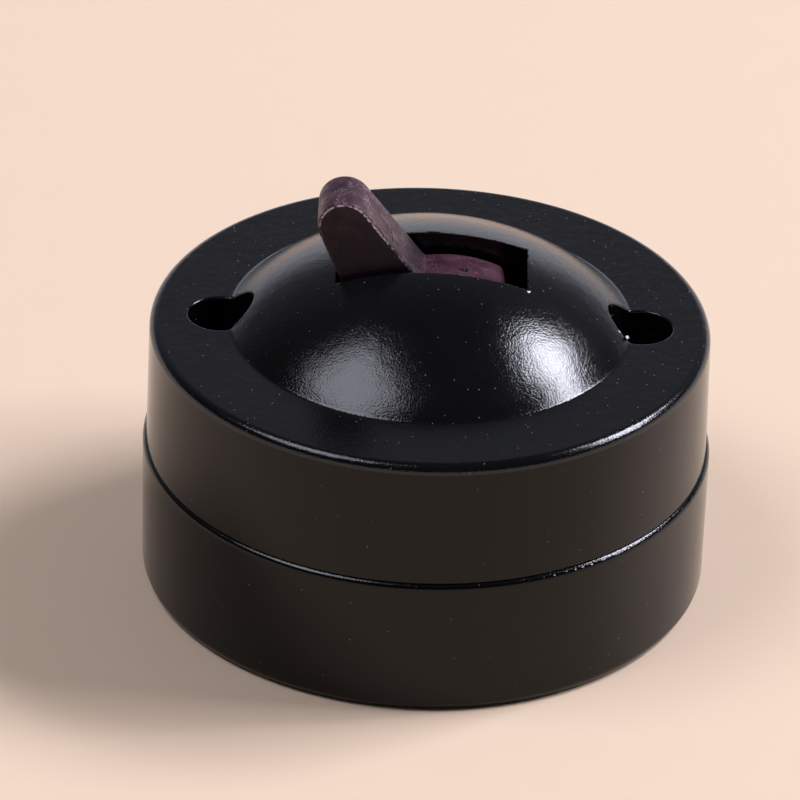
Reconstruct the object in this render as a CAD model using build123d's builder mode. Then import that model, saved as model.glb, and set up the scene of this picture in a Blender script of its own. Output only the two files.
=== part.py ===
from build123d import *
import math
import os

# Round surface-mounted toggle switch, in millimetres. +Z points out of the wall, and the
# origin is on the switch's axis at its back face. The lever swings in the XZ plane and is
# drawn tipped towards -X, which is the off position.

# Base moulding
BASE_BACK_R = 31.65
BASE_RIM_R = 31.75
BASE_WALL = 2.8
FLOOR_T = 3.0
SEAM_Z = 16.3
LAND_Z = 3.6
RIM_FILLET = 0.7
BACK_FILLET = 1.2
LAND_MARGIN = 2.0
TERMINAL_LAND = (10.0, 9.0)
TERMINAL_LAND_SHIFT = 1.0
CABLE_HOLE = (-14.0, 0.0)
CABLE_HOLE_R = 4.0
WALL_SCREW_SPACING = 42.0
WALL_SCREW_R = 2.2
WALL_SCREW_PAD_R = 4.4
WALL_SCREW_PAD_H = 1.2

# Cover moulding
COVER_SEAM_R = 31.35
COVER_TOP_R = 31.1
COVER_WALL = 3.1
COVER_DRAFT = 0.5
SEAM_CHAMFER = 0.3
FLAT_Z = 31.0
SHELL_T = 2.5
EDGE_FILLET = 0.85
DOME_R = 32.6
DOME_H = 8.93
DOME_BLEND = 0.6
SLOT_LENGTH = 21.0
SLOT_WIDTH = 8.8
LIP_Z = 14.8
LIP_GAP = 0.15

# Cover screws, their wells in the cover and their bosses in the base
WELL_X = 23.26
WELL_R = 3.6
WELL_WALL = 1.8
WELL_FLOOR_Z = 17.8
BOSS_R = 5.0
BOSS_RIB = 3.0
BOSS_TOP_Z = 14.5
COVER_SCREW_HEAD_R = 2.7
COVER_SCREW_HEAD_H = 1.8
COVER_SCREW_TIP_Z = 7.5
INSERT_R = 2.6
INSERT_CLEARANCE = 0.02
INSERT_BOTTOM_Z = 6.5
M3_R = 1.48
M3_HOLE_R = 1.5
M3_CLEAR_R = 1.7
HEAD_FILLET = 0.3
HEAD_SLOT = 0.8

# Lever
PIVOT_Z = 27.6
LEVER_TILT = 30.4
LEVER_T = 6.6
TIP_R = 2.9
TIP_CENTRE = 19.4
TIP_TAPER = 7.7
ROOT_HEIGHT = 9.07
LEVER_EDGE_R = 0.45
WING_MID = (7.5, 7.4)
WING_END = (11.2, 3.6)
WING_TOE = (10.3, 1.1)
WING_CORNER_R = 1.4
WING_TOE_R = 0.6
LEVER_ROOT_R = 0.5
HUB_CORNER_R = 1.5
HUB_R = 3.8
HUB_WIDTH = 9.0
LEVER_PIN_R = 1.25
PIN_CLEARANCE = 0.05
PIN_LENGTH = 12.4
PIN_CHAMFER = 0.25

# Over-centre spring and the ball nibs that it sits on
LEVER_NIB = 5.6
ROCKER_NIB = 3.6
NIB_BALL_R = 1.5
NIB_NECK_R = 1.0
SPRING_R = 1.55
SPRING_WIRE_R = 0.22
SPRING_TURNS = 5
SPRING_SEAT = 0.82

# Rocker with the moving contact
ROCKER_Z = 13.0
ROCKER_TILT = 16.0
ROCKER_WIDTH = 8.4
ROCKER_HUB_R = 2.8
ROCKER_ARM_T = 3.0
ROCKER_ARM_L = 7.0
ROCKER_PIN_R = 1.05
BLADE_T = 0.6
BLADE_L = 3.9
BLADE_CORNER_R = 0.8
TIP_BUTTON_R = 1.1
TIP_BUTTON_H = 0.8
TIP_BUTTON_Y = 2.6
TIP_BUTTON_DROP = 5.6
TIP_BUTTON_FILLET = 0.5
BLADE_RIVET_R = 0.8
BLADE_RIVET_HEAD_R = 1.3
BLADE_RIVET_HEAD_H = 0.4

# Bridge of bent strip
STRIP_T = 0.8
BRIDGE_WIDTH = 10.8
BRIDGE_LENGTH = 9.0
BRIDGE_HEAD_R = 4.0
STOP_X = 3.45
STOP_WIDTH = 7.6
STOP_NOTCH = 3.4
STOP_TOP_Z = 8.0
BEND_R = 0.4
RIVET_R = 1.2
RIVET_Y = 2.5
RIVET_HEAD_R = 1.7
RIVET_HEAD_H = 0.6
RIVET_SINK_R = 2.2
RIVET_SINK_H = 1.4

# Fixed contacts and terminals
CONTACT_T = 0.6
CONTACT_X = -5.38
CONTACT_END_Y = 1.2
CONTACT_ARM_Z = (6.2, 10.2)
FOOT_X = -14.5
FOOT_Y = (9.0, 16.0)
FIXED_TIP_Z = 8.0
TERMINAL_X = -11.2
TERMINAL_Y = 12.5
TERMINAL_SIZE = (6.0, 7.0, 7.5)
TERMINAL_CHAMFER = 0.5
WIRE_HOLE_R = 1.5
WIRE_HOLE_Z = 8.4
TERMINAL_SCREW_GAP = 0.7
TERMINAL_HEAD_R = 2.4
TERMINAL_HEAD_H = 1.6
BOLT_HEAD_R = 2.6
BOLT_HEAD_H = 1.5
BOLT_TIP_Z = 6.3
BOLT_HOLE_DEPTH = 2.3
BOLT_SINK_R = 3.0
BOLT_SINK_H = 2.0

os.makedirs("parts", exist_ok=True)

RISING = (Align.CENTER, Align.MIN)
SIDES = {"left": -1, "right": 1}
ROWS = {"front": -1, "back": 1}
COVER_INNER_R = COVER_SEAM_R - COVER_WALL
DOME_CENTRE_Z = FLAT_Z + DOME_H - DOME_R


def tilted_plane(height, degrees):
    """Plane across the Y axis at a pivot: x sideways, y along the piece, tipped to -X."""
    angle = math.radians(degrees)
    return Plane(
        origin=(0, 0, height),
        x_dir=(math.cos(angle), 0, math.sin(angle)),
        z_dir=(0, -1, 0),
    )


def cross_plane(x, z):
    """Plane across the Y axis at a point of the XZ plane."""
    return Plane(origin=(x, 0, z), x_dir=(1, 0, 0), z_dir=(0, -1, 0))


def cross_hole(plane, radius):
    """Cut a round hole right through the open part, along Y, at a plane's origin."""
    with BuildSketch(plane) as hole:
        Circle(radius)
    extrude(hole.sketch, amount=BASE_RIM_R, both=True, mode=Mode.SUBTRACT)


def ball_nib(plane, centre):
    """Add a ball on a neck to the open part, on a plane's y axis."""
    with BuildSketch(plane) as half_section:
        with Locations((0, centre)):
            Circle(NIB_BALL_R)
        with Locations((0, centre / 2)):
            Rectangle(2 * NIB_NECK_R, abs(centre))
        split(bisect_by=Plane.YZ)
    revolve(half_section.sketch, axis=Axis(plane.origin, plane.y_dir))


def machine_screw(label, under_head, up, head_r, head_h, length):
    """Write a slotted cheese-head screw with its head on top (up = 1) or below (-1)."""
    plane = Plane(origin=under_head, z_dir=(0, 0, up))
    with BuildPart() as screw:
        with BuildSketch(plane):
            Circle(head_r)
        extrude(amount=head_h)
        fillet(screw.edges().sort_by(Axis.Z)[-1 if up > 0 else 0], HEAD_FILLET)
        with BuildSketch(plane.offset(head_h)):
            Rectangle(2 * head_r, HEAD_SLOT)
        extrude(amount=-head_h / 2, mode=Mode.SUBTRACT)
        with BuildSketch(plane):
            Circle(M3_R)
        extrude(amount=-length)
    save(screw, label)


def save(piece, label):
    """Name a finished piece and write its STEP file."""
    piece.part.label = label
    export_step(piece.part, f"parts/{label}.step")


LEVER_PLANE = tilted_plane(PIVOT_Z, LEVER_TILT)
ROCKER_PLANE = tilted_plane(ROCKER_Z, ROCKER_TILT)
BLADE_PLANE = Plane(
    origin=ROCKER_PLANE.from_local_coords((-ROCKER_ARM_T / 2, 0, 0)),
    x_dir=(0, -1, 0),
    z_dir=-ROCKER_PLANE.x_dir,
)

# Base: a turned cup with bosses, lands and holes moulded into its floor
with BuildPart() as base:
    with BuildSketch(Plane.XZ) as base_section:
        with BuildLine():
            Polyline(
                (0, 0),
                (BASE_BACK_R, 0),
                (BASE_RIM_R, SEAM_Z),
                (BASE_RIM_R - BASE_WALL, SEAM_Z),
                (BASE_BACK_R - BASE_WALL, FLOOR_T),
                (0, FLOOR_T),
                close=True,
            )
        make_face()
        rim_corner = base_section.vertices().group_by(Axis.Y)[-1].sort_by(Axis.X)[-1]
        back_corner = base_section.vertices().group_by(Axis.Y)[0].sort_by(Axis.X)[-1]
        fillet(rim_corner, RIM_FILLET)
        fillet(back_corner, BACK_FILLET)
    revolve(axis=Axis.Z)
    with BuildSketch(Plane.XY.offset(FLOOR_T)):
        with Locations((-WELL_X, 0), (WELL_X, 0)):
            Circle(BOSS_R)
        with Locations((-WELL_X - BOSS_R, 0), (WELL_X + BOSS_R, 0)):
            Rectangle(BOSS_RIB, BOSS_RIB)
    extrude(amount=BOSS_TOP_Z - FLOOR_T)
    with BuildSketch(Plane.XY.offset(FLOOR_T)):
        Rectangle(BRIDGE_LENGTH + LAND_MARGIN, BRIDGE_WIDTH + LAND_MARGIN)
        with Locations((TERMINAL_X + TERMINAL_LAND_SHIFT, 0)):
            with GridLocations(0, 2 * TERMINAL_Y, 1, 2):
                Rectangle(TERMINAL_LAND[0], TERMINAL_LAND[1])
    extrude(amount=LAND_Z - FLOOR_T)
    with BuildSketch(Plane.XY.offset(FLOOR_T)):
        with GridLocations(0, WALL_SCREW_SPACING, 1, 2):
            Circle(WALL_SCREW_PAD_R)
    extrude(amount=WALL_SCREW_PAD_H)
    with BuildSketch():
        with GridLocations(0, WALL_SCREW_SPACING, 1, 2):
            Circle(WALL_SCREW_R)
        with Locations(CABLE_HOLE):
            Circle(CABLE_HOLE_R)
        with GridLocations(0, 2 * RIVET_Y, 1, 2):
            Circle(RIVET_R)
        with Locations((TERMINAL_X, -TERMINAL_Y), (TERMINAL_X, TERMINAL_Y)):
            Circle(M3_CLEAR_R)
    extrude(amount=FLOOR_T + WALL_SCREW_PAD_H, mode=Mode.SUBTRACT)
    with BuildSketch():
        with GridLocations(0, 2 * RIVET_Y, 1, 2):
            Circle(RIVET_SINK_R)
    extrude(amount=RIVET_SINK_H, mode=Mode.SUBTRACT)
    with BuildSketch():
        with Locations((TERMINAL_X, -TERMINAL_Y), (TERMINAL_X, TERMINAL_Y)):
            Circle(BOLT_SINK_R)
    extrude(amount=BOLT_SINK_H, mode=Mode.SUBTRACT)
    with BuildSketch(Plane.XY.offset(INSERT_BOTTOM_Z)):
        with GridLocations(2 * WELL_X, 0, 2, 1):
            Circle(INSERT_R + INSERT_CLEARANCE)
    extrude(amount=SEAM_Z, mode=Mode.SUBTRACT)
save(base, "base")

# Cover: a turned shell with a shallow spherical dome, a slot and two deep screw wells
with BuildPart() as cover:
    with BuildSketch(Plane.XZ) as cover_section:
        with BuildLine():
            dome_foot = math.sqrt(DOME_R**2 - (DOME_R - DOME_H) ** 2)
            Polyline(
                (dome_foot, FLAT_Z),
                (COVER_TOP_R, FLAT_Z),
                (COVER_SEAM_R, SEAM_Z),
                (BASE_RIM_R - BASE_WALL - LIP_GAP, SEAM_Z),
                (BASE_RIM_R - BASE_WALL - LIP_GAP, LIP_Z),
                (COVER_INNER_R - COVER_DRAFT / 2, LIP_Z),
                (COVER_INNER_R - COVER_DRAFT, FLAT_Z - SHELL_T),
            )
            inner_r = DOME_R - SHELL_T
            inner_foot = math.sqrt(inner_r**2 - (FLAT_Z - SHELL_T - DOME_CENTRE_Z) ** 2)
            Line(
                (COVER_INNER_R - COVER_DRAFT, FLAT_Z - SHELL_T),
                (inner_foot, FLAT_Z - SHELL_T),
            )
            foot_angle = math.degrees(math.acos(inner_foot / inner_r))
            CenterArc((0, DOME_CENTRE_Z), inner_r, foot_angle, 90 - foot_angle)
            Line((0, DOME_CENTRE_Z + inner_r), (0, DOME_CENTRE_Z + DOME_R))
            dome_angle = math.degrees(math.acos(dome_foot / DOME_R))
            CenterArc((0, DOME_CENTRE_Z), DOME_R, 90, dome_angle - 90)
        make_face()
        for corner, radius in (
            ((COVER_TOP_R, FLAT_Z), EDGE_FILLET),
            ((dome_foot, FLAT_Z), DOME_BLEND),
        ):
            fillet(cover_section.vertices().sort_by_distance(corner)[0], radius)
        seam_corner = cover_section.vertices().sort_by_distance((COVER_SEAM_R, SEAM_Z))[0]
        chamfer(seam_corner, SEAM_CHAMFER)
    revolve(axis=Axis.Z)
    with BuildSketch(Plane.XY.offset(LIP_Z)):
        with GridLocations(2 * WELL_X, 0, 2, 1):
            Circle(WELL_R + WELL_WALL)
    extrude(amount=FLAT_Z - SHELL_T / 2 - LIP_Z)
    with BuildSketch(Plane.XY.offset(WELL_FLOOR_Z)):
        with GridLocations(2 * WELL_X, 0, 2, 1):
            Circle(WELL_R)
    extrude(amount=2 * DOME_H + FLAT_Z - WELL_FLOOR_Z, mode=Mode.SUBTRACT)
    with BuildSketch(Plane.XY.offset(LIP_Z)):
        with GridLocations(2 * WELL_X, 0, 2, 1):
            Circle(M3_CLEAR_R)
    extrude(amount=WELL_FLOOR_Z - LIP_Z, mode=Mode.SUBTRACT)
    with BuildSketch(Plane.XY.offset(FLAT_Z + SHELL_T)):
        Rectangle(SLOT_LENGTH, SLOT_WIDTH)
    extrude(amount=DOME_H, mode=Mode.SUBTRACT)
save(cover, "cover")

# Lever: one moulding with a tapered finger, two curved wings that close the slot, a hub
# on its pin and a ball nib underneath for the spring
with BuildPart() as lever:
    with BuildSketch(LEVER_PLANE) as lever_outline:
        with BuildLine():
            taper = math.radians(TIP_TAPER)
            tangent = (TIP_R * math.cos(taper), TIP_CENTRE + TIP_R * math.sin(taper))
            root_half = (
                TIP_R + (TIP_CENTRE - ROOT_HEIGHT) * math.sin(taper)
            ) / math.cos(taper)
            CenterArc((0, TIP_CENTRE), TIP_R, TIP_TAPER, 90 - TIP_TAPER)
            Line(tangent, (root_half, ROOT_HEIGHT))
            ThreePointArc((root_half, ROOT_HEIGHT), WING_MID, WING_END)
            Line(WING_END, WING_TOE)
            hub_corner = (HUB_R * math.cos(taper), -HUB_R * math.sin(taper))
            Line(WING_TOE, hub_corner)
            CenterArc((0, 0), HUB_R, -TIP_TAPER, TIP_TAPER - 90)
            mirror(about=Plane.YZ)
        make_face()
        for corner, radius in (
            ((root_half, ROOT_HEIGHT), LEVER_ROOT_R),
            (WING_END, WING_CORNER_R),
            (WING_TOE, WING_TOE_R),
            (hub_corner, HUB_CORNER_R),
        ):
            for x in (-corner[0], corner[0]):
                fillet(lever_outline.vertices().sort_by_distance((x, corner[1]))[0], radius)
    extrude(amount=LEVER_T / 2, both=True)
    flanks = lever.faces().filter_by(Axis.Y)
    fillet(flanks.edges(), LEVER_EDGE_R)
    with BuildSketch(LEVER_PLANE):
        Circle(HUB_R - LEVER_EDGE_R)
    extrude(amount=HUB_WIDTH / 2, both=True)
    ball_nib(LEVER_PLANE, -LEVER_NIB)
    cross_hole(LEVER_PLANE, LEVER_PIN_R + PIN_CLEARANCE)
save(lever, "lever")

# Pins: plain turned rods with chamfered ends, held in the bridge
for label, height, radius in (
    ("lever_pin", PIVOT_Z, LEVER_PIN_R),
    ("rocker_pin", ROCKER_Z, ROCKER_PIN_R),
):
    with BuildPart() as pin:
        with BuildSketch(Plane.XZ.offset(-PIN_LENGTH / 2)):
            with Locations((0, height)):
                Circle(radius)
        extrude(amount=PIN_LENGTH)
        chamfer(pin.edges().filter_by(GeomType.CIRCLE), PIN_CHAMFER)
    save(pin, label)

# Bridge: one strip bent to a U, with a stop tab turned up from its web
with BuildPart() as bridge:
    with BuildSketch(Plane.YZ) as bridge_section:
        with Locations((0, LAND_Z)):
            Rectangle(BRIDGE_WIDTH, PIVOT_Z + BRIDGE_HEAD_R - LAND_Z, align=RISING)
        with Locations((0, LAND_Z + STRIP_T)):
            Rectangle(BRIDGE_WIDTH - 2 * STRIP_T, PIVOT_Z, align=RISING, mode=Mode.SUBTRACT)
        fillet(bridge_section.vertices().group_by(Axis.Y)[0], BEND_R + STRIP_T)
        fillet(bridge_section.vertices().group_by(Axis.Y)[1], BEND_R)
    extrude(amount=BRIDGE_LENGTH / 2, both=True)
    with BuildSketch(Plane.XZ):
        with Locations((0, PIVOT_Z)):
            Circle(BRIDGE_HEAD_R)
        with BuildLine():
            Polyline(
                (-BRIDGE_LENGTH / 2, 0),
                (BRIDGE_LENGTH / 2, 0),
                (BRIDGE_LENGTH / 2, ROCKER_Z),
                (BRIDGE_HEAD_R, PIVOT_Z),
                (-BRIDGE_HEAD_R, PIVOT_Z),
                (-BRIDGE_LENGTH / 2, ROCKER_Z),
                close=True,
            )
        make_face()
    extrude(amount=BRIDGE_WIDTH, both=True, mode=Mode.INTERSECT)
    with BuildSketch(Plane.XY.offset(LAND_Z)):
        with Locations((STOP_X + STRIP_T / 2, 0)):
            Rectangle(STRIP_T, STOP_WIDTH)
    extrude(amount=STOP_TOP_Z - LAND_Z)
    with BuildSketch(Plane.XY.offset(LAND_Z + STRIP_T + BEND_R)):
        with Locations((STOP_X + STRIP_T / 2, 0)):
            Rectangle(STRIP_T, STOP_NOTCH)
    extrude(amount=STOP_TOP_Z, mode=Mode.SUBTRACT)
    with BuildSketch(Plane.XY.offset(LAND_Z)):
        with GridLocations(0, 2 * RIVET_Y, 1, 2):
            Circle(RIVET_R)
    extrude(amount=STRIP_T, mode=Mode.SUBTRACT)
    cross_hole(cross_plane(0, PIVOT_Z), LEVER_PIN_R)
    cross_hole(cross_plane(0, ROCKER_Z), ROCKER_PIN_R)
save(bridge, "bridge")

# Tubular rivets: the bridge to the floor, headed above and rolled over in the back sinks
for row, side in ROWS.items():
    with BuildPart() as rivet:
        with BuildSketch(Plane.YZ):
            with BuildLine():
                Polyline(
                    (side * RIVET_Y + RIVET_R / 2, RIVET_SINK_H - RIVET_HEAD_H),
                    (side * RIVET_Y + RIVET_HEAD_R, RIVET_SINK_H - RIVET_HEAD_H),
                    (side * RIVET_Y + RIVET_HEAD_R, RIVET_SINK_H),
                    (side * RIVET_Y + RIVET_R, RIVET_SINK_H),
                    (side * RIVET_Y + RIVET_R, LAND_Z + STRIP_T),
                    (side * RIVET_Y + RIVET_HEAD_R, LAND_Z + STRIP_T),
                    (side * RIVET_Y + RIVET_HEAD_R, LAND_Z + STRIP_T + RIVET_HEAD_H),
                    (side * RIVET_Y + RIVET_R / 2, LAND_Z + STRIP_T + RIVET_HEAD_H),
                    close=True,
                )
            make_face()
        revolve(axis=Axis((0, side * RIVET_Y, 0), (0, 0, 1)))
    save(rivet, f"bridge_rivet_{row}")

# Over-centre spring: one wire coil between the two ball nibs
nib_on_lever = LEVER_PLANE.from_local_coords((0, -LEVER_NIB, 0))
nib_on_rocker = ROCKER_PLANE.from_local_coords((0, ROCKER_NIB, 0))
SPRING_AXIS = (nib_on_lever - nib_on_rocker).normalized()
spring_foot = nib_on_rocker + SPRING_AXIS * SPRING_SEAT
spring_length = (nib_on_lever - nib_on_rocker).length - 2 * SPRING_SEAT
with BuildPart() as toggle_spring:
    with BuildLine() as coil:
        Helix(
            pitch=spring_length / SPRING_TURNS,
            height=spring_length,
            radius=SPRING_R,
            center=spring_foot,
            direction=SPRING_AXIS,
        )
    with BuildSketch(Plane(origin=coil.line @ 0, z_dir=coil.line % 0)):
        Circle(SPRING_WIRE_R)
    sweep(is_frenet=True)
save(toggle_spring, "toggle_spring")

# Rocker: moulded carrier with a hub, an arm below and a ball nib above
with BuildPart() as rocker:
    with BuildSketch(ROCKER_PLANE):
        Circle(ROCKER_HUB_R)
        Rectangle(ROCKER_ARM_T, ROCKER_ARM_L, align=(Align.CENTER, Align.MAX))
    extrude(amount=ROCKER_WIDTH / 2, both=True)
    ball_nib(ROCKER_PLANE, ROCKER_NIB)
    cross_hole(ROCKER_PLANE, ROCKER_PIN_R + PIN_CLEARANCE)
    with BuildSketch(BLADE_PLANE):
        with Locations((0, -(ROCKER_ARM_L - BLADE_L / 2))):
            Circle(BLADE_RIVET_R)
    extrude(amount=2 * ROCKER_ARM_T, both=True, mode=Mode.SUBTRACT)
save(rocker, "rocker")

# Moving contact: a flat strip across the arm, riveted on, with a button at each end
with BuildPart() as contact_blade:
    with BuildSketch(BLADE_PLANE) as blade_outline:
        with Locations((0, -(ROCKER_ARM_L - BLADE_L / 2))):
            Rectangle(ROCKER_WIDTH, BLADE_L)
            fillet(blade_outline.vertices(), BLADE_CORNER_R)
            Circle(BLADE_RIVET_R, mode=Mode.SUBTRACT)
    extrude(amount=BLADE_T)
save(contact_blade, "contact_blade")

with BuildPart() as blade_rivet:
    rivet_point = (0, -(ROCKER_ARM_L - BLADE_L / 2))
    with BuildSketch(BLADE_PLANE.offset(BLADE_T)):
        with Locations(rivet_point):
            Circle(BLADE_RIVET_R)
    extrude(amount=-(BLADE_T + ROCKER_ARM_T))
    for face_plane, head_height in (
        (BLADE_PLANE.offset(BLADE_T), BLADE_RIVET_HEAD_H),
        (BLADE_PLANE.offset(-ROCKER_ARM_T), -BLADE_RIVET_HEAD_H),
    ):
        with BuildSketch(face_plane):
            with Locations(rivet_point):
                Circle(BLADE_RIVET_HEAD_R)
        extrude(amount=head_height)
save(blade_rivet, "blade_rivet")

# Contact buttons: a pair on the moving strip, and one on each fixed strip
for row, side in ROWS.items():
    for label, plane, point in (
        ("moving", BLADE_PLANE.offset(BLADE_T), (-side * TIP_BUTTON_Y, -TIP_BUTTON_DROP)),
        ("fixed", Plane.YZ.offset(CONTACT_X), (side * TIP_BUTTON_Y, FIXED_TIP_Z)),
    ):
        with BuildPart() as button:
            with BuildSketch(plane):
                with Locations(point):
                    Circle(TIP_BUTTON_R)
            extrude(amount=TIP_BUTTON_H)
            crown = button.faces().sort_by(Axis(plane.origin, plane.z_dir))[-1]
            fillet(crown.edges(), TIP_BUTTON_FILLET)
        save(button, f"{label}_tip_{row}")

# Fixed contacts: strips bent to an angle, with an upright arm that reaches to the rocker
for row, side in ROWS.items():
    with BuildPart() as contact:
        with BuildSketch(Plane.YZ.offset(CONTACT_X - CONTACT_T)) as arm_outline:
            with BuildLine():
                Polyline(
                    (side * CONTACT_END_Y, CONTACT_ARM_Z[0]),
                    (side * CONTACT_END_Y, CONTACT_ARM_Z[1]),
                    (side * FOOT_Y[0], CONTACT_ARM_Z[1]),
                    (side * FOOT_Y[1], CONTACT_ARM_Z[0]),
                    (side * FOOT_Y[1], LAND_Z),
                    (side * FOOT_Y[0], LAND_Z),
                    (side * FOOT_Y[0], CONTACT_ARM_Z[0]),
                    close=True,
                )
            make_face()
            fillet(arm_outline.vertices().group_by(Axis.Y)[1:], CONTACT_T)
        extrude(amount=CONTACT_T)
        with BuildSketch(Plane.XY.offset(LAND_Z)):
            with Locations(((FOOT_X + CONTACT_X) / 2, side * sum(FOOT_Y) / 2)):
                Rectangle(CONTACT_X - FOOT_X, FOOT_Y[1] - FOOT_Y[0])
            with Locations((TERMINAL_X, side * TERMINAL_Y)):
                Circle(M3_CLEAR_R, mode=Mode.SUBTRACT)
        extrude(amount=CONTACT_T)
        bend = contact.edges().filter_by(Axis.Y).group_by(Axis.Z)[0].sort_by(Axis.X)[-1]
        fillet(bend, CONTACT_T)
    save(contact, f"fixed_contact_{row}")

# Terminals: brass blocks with a wire hole, a clamping screw and a bolt from the back
for row, side in ROWS.items():
    terminal_base_z = LAND_Z + CONTACT_T
    terminal_top_z = terminal_base_z + TERMINAL_SIZE[2]
    with BuildPart() as terminal:
        with BuildSketch(Plane.XY.offset(terminal_base_z)) as block_outline:
            with Locations((TERMINAL_X, side * TERMINAL_Y)):
                Rectangle(TERMINAL_SIZE[0], TERMINAL_SIZE[1])
            chamfer(block_outline.vertices(), TERMINAL_CHAMFER)
        extrude(amount=TERMINAL_SIZE[2])
        cross_hole(cross_plane(TERMINAL_X, WIRE_HOLE_Z), WIRE_HOLE_R)
        for hole_z, depth in (
            (terminal_top_z, WIRE_HOLE_Z - terminal_top_z),
            (terminal_base_z, BOLT_HOLE_DEPTH),
        ):
            with BuildSketch(Plane.XY.offset(hole_z)):
                with Locations((TERMINAL_X, side * TERMINAL_Y)):
                    Circle(M3_HOLE_R)
            extrude(amount=depth, mode=Mode.SUBTRACT)
    save(terminal, f"terminal_{row}")
    head_z = terminal_top_z + TERMINAL_SCREW_GAP
    machine_screw(
        f"terminal_screw_{row}",
        (TERMINAL_X, side * TERMINAL_Y, head_z),
        1,
        TERMINAL_HEAD_R,
        TERMINAL_HEAD_H,
        head_z - WIRE_HOLE_Z - WIRE_HOLE_R,
    )
    machine_screw(
        f"terminal_bolt_{row}",
        (TERMINAL_X, side * TERMINAL_Y, BOLT_SINK_H),
        -1,
        BOLT_HEAD_R,
        BOLT_HEAD_H,
        BOLT_TIP_Z - BOLT_SINK_H,
    )

# Cover screws at the bottom of their wells, and the threaded inserts that they turn into
for label, side in SIDES.items():
    with BuildPart() as insert:
        with BuildSketch(Plane.XY.offset(INSERT_BOTTOM_Z)):
            with Locations((side * WELL_X, 0)):
                Circle(INSERT_R)
                Circle(M3_HOLE_R, mode=Mode.SUBTRACT)
        extrude(amount=BOSS_TOP_Z - INSERT_BOTTOM_Z)
    save(insert, f"cover_insert_{label}")
    machine_screw(
        f"cover_screw_{label}",
        (side * WELL_X, 0, WELL_FLOOR_Z),
        1,
        COVER_SCREW_HEAD_R,
        COVER_SCREW_HEAD_H,
        WELL_FLOOR_Z - COVER_SCREW_TIP_Z,
    )
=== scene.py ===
"""Round toggle light switch: fine mouldings, real finishes, soft light and a camera.

Sizes are fields in millimetres, but for the studio's, which are in metres. A piece is shaped
in millimetres and is scaled to metres when it settles in the frame.
"""

from __future__ import annotations

import logging
import math
import random
from collections.abc import Callable, Iterable
from dataclasses import dataclass
from enum import Enum

import bmesh
import bpy
from mathutils import Matrix, Vector

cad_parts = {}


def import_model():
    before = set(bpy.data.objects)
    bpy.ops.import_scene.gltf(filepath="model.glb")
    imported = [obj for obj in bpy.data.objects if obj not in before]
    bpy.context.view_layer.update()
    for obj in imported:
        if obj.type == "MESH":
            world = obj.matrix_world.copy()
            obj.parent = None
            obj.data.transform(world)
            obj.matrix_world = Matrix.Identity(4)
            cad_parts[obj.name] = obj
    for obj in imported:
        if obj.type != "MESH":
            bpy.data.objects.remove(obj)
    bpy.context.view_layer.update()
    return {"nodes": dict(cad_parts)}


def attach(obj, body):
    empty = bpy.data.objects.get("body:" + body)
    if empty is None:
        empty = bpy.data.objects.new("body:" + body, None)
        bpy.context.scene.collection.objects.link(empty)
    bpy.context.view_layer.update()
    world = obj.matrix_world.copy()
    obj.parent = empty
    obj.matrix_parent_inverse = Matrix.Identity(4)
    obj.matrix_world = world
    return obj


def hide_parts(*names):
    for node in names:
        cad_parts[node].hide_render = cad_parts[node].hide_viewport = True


LOG = logging.getLogger("toggle_switch")
MM = 0.001
X_AXIS = Vector((1, 0, 0))
Y_AXIS = Vector((0, 1, 0))
Z_AXIS = Vector((0, 0, 1))
# Which way a small broken facet faces where it sends the high right light to the camera.
GLINT = Vector((0.447, -0.457, 0.77)).normalized()
# A face smaller than this (mm2) that looks this closely along GLINT is shaded flat, to flash.
FACET_AREA = 0.12
FACET_MATCH = 0.999
# The bend, in degrees, from which shading shows an edge as sharp.
SHARP_FROM = 32.0
# Points closer than this (mm) become one, in a drawn outline and in a turned one.
DRAWN_GAP = 0.001
TURNED_GAP = 0.0005
# The widest sliver (mm) that is closed before edges are rounded.
SLIVER = 0.05
# How close to a level (mm) a point counts as being on it.
NEAR = 0.01

Socket = bpy.types.NodeSocket


class Carving(Enum):
    """How a second solid changes a piece."""

    JOIN = "UNION"
    CUT = "DIFFERENCE"


class Skin(Enum):
    """Which part of a moulding's surface a face belongs to."""

    SATIN = 0
    POLISHED = 1


def linear(colour: str) -> tuple[float, float, float, float]:
    """Turn an sRGB hex colour into linear RGBA.

    Args:
        colour: The colour as "#rrggbb".

    Returns:
        Red, green, blue and an alpha of 1.
    """
    channels = []
    for start in (1, 3, 5):
        value = int(colour[start : start + 2], 16) / 255
        low = value <= 0.04045
        channels.append(value / 12.92 if low else ((value + 0.055) / 1.055) ** 2.4)
    return (*channels, 1.0)


def per_metre(size: float) -> float:
    """Return the scale at which a texture's features are about size millimetres wide."""
    return 1.0 / (size * MM)


def add_node(
    tree: bpy.types.NodeTree,
    kind: str,
    settings: dict[str, object] | None = None,
    inputs: dict[str | int, object] | None = None,
) -> bpy.types.Node:
    """Add a node with its settings, input values and links.

    Args:
        tree: The node tree that takes the node.
        kind: The node's type name.
        settings: Properties of the node by name.
        inputs: A value, or an output socket to link, for each input by name or index.

    Returns:
        The new node.
    """
    node = tree.nodes.new(kind)
    for name, value in (settings or {}).items():
        setattr(node, name, value)
    for key, value in (inputs or {}).items():
        if isinstance(value, Socket):
            tree.links.new(value, node.inputs[key])
        else:
            node.inputs[key].default_value = value
    return node


def in_mm(low: float, high: float) -> tuple[float, float]:
    """Return a span that is given in millimetres as one in metres."""
    return low * MM, high * MM


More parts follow.
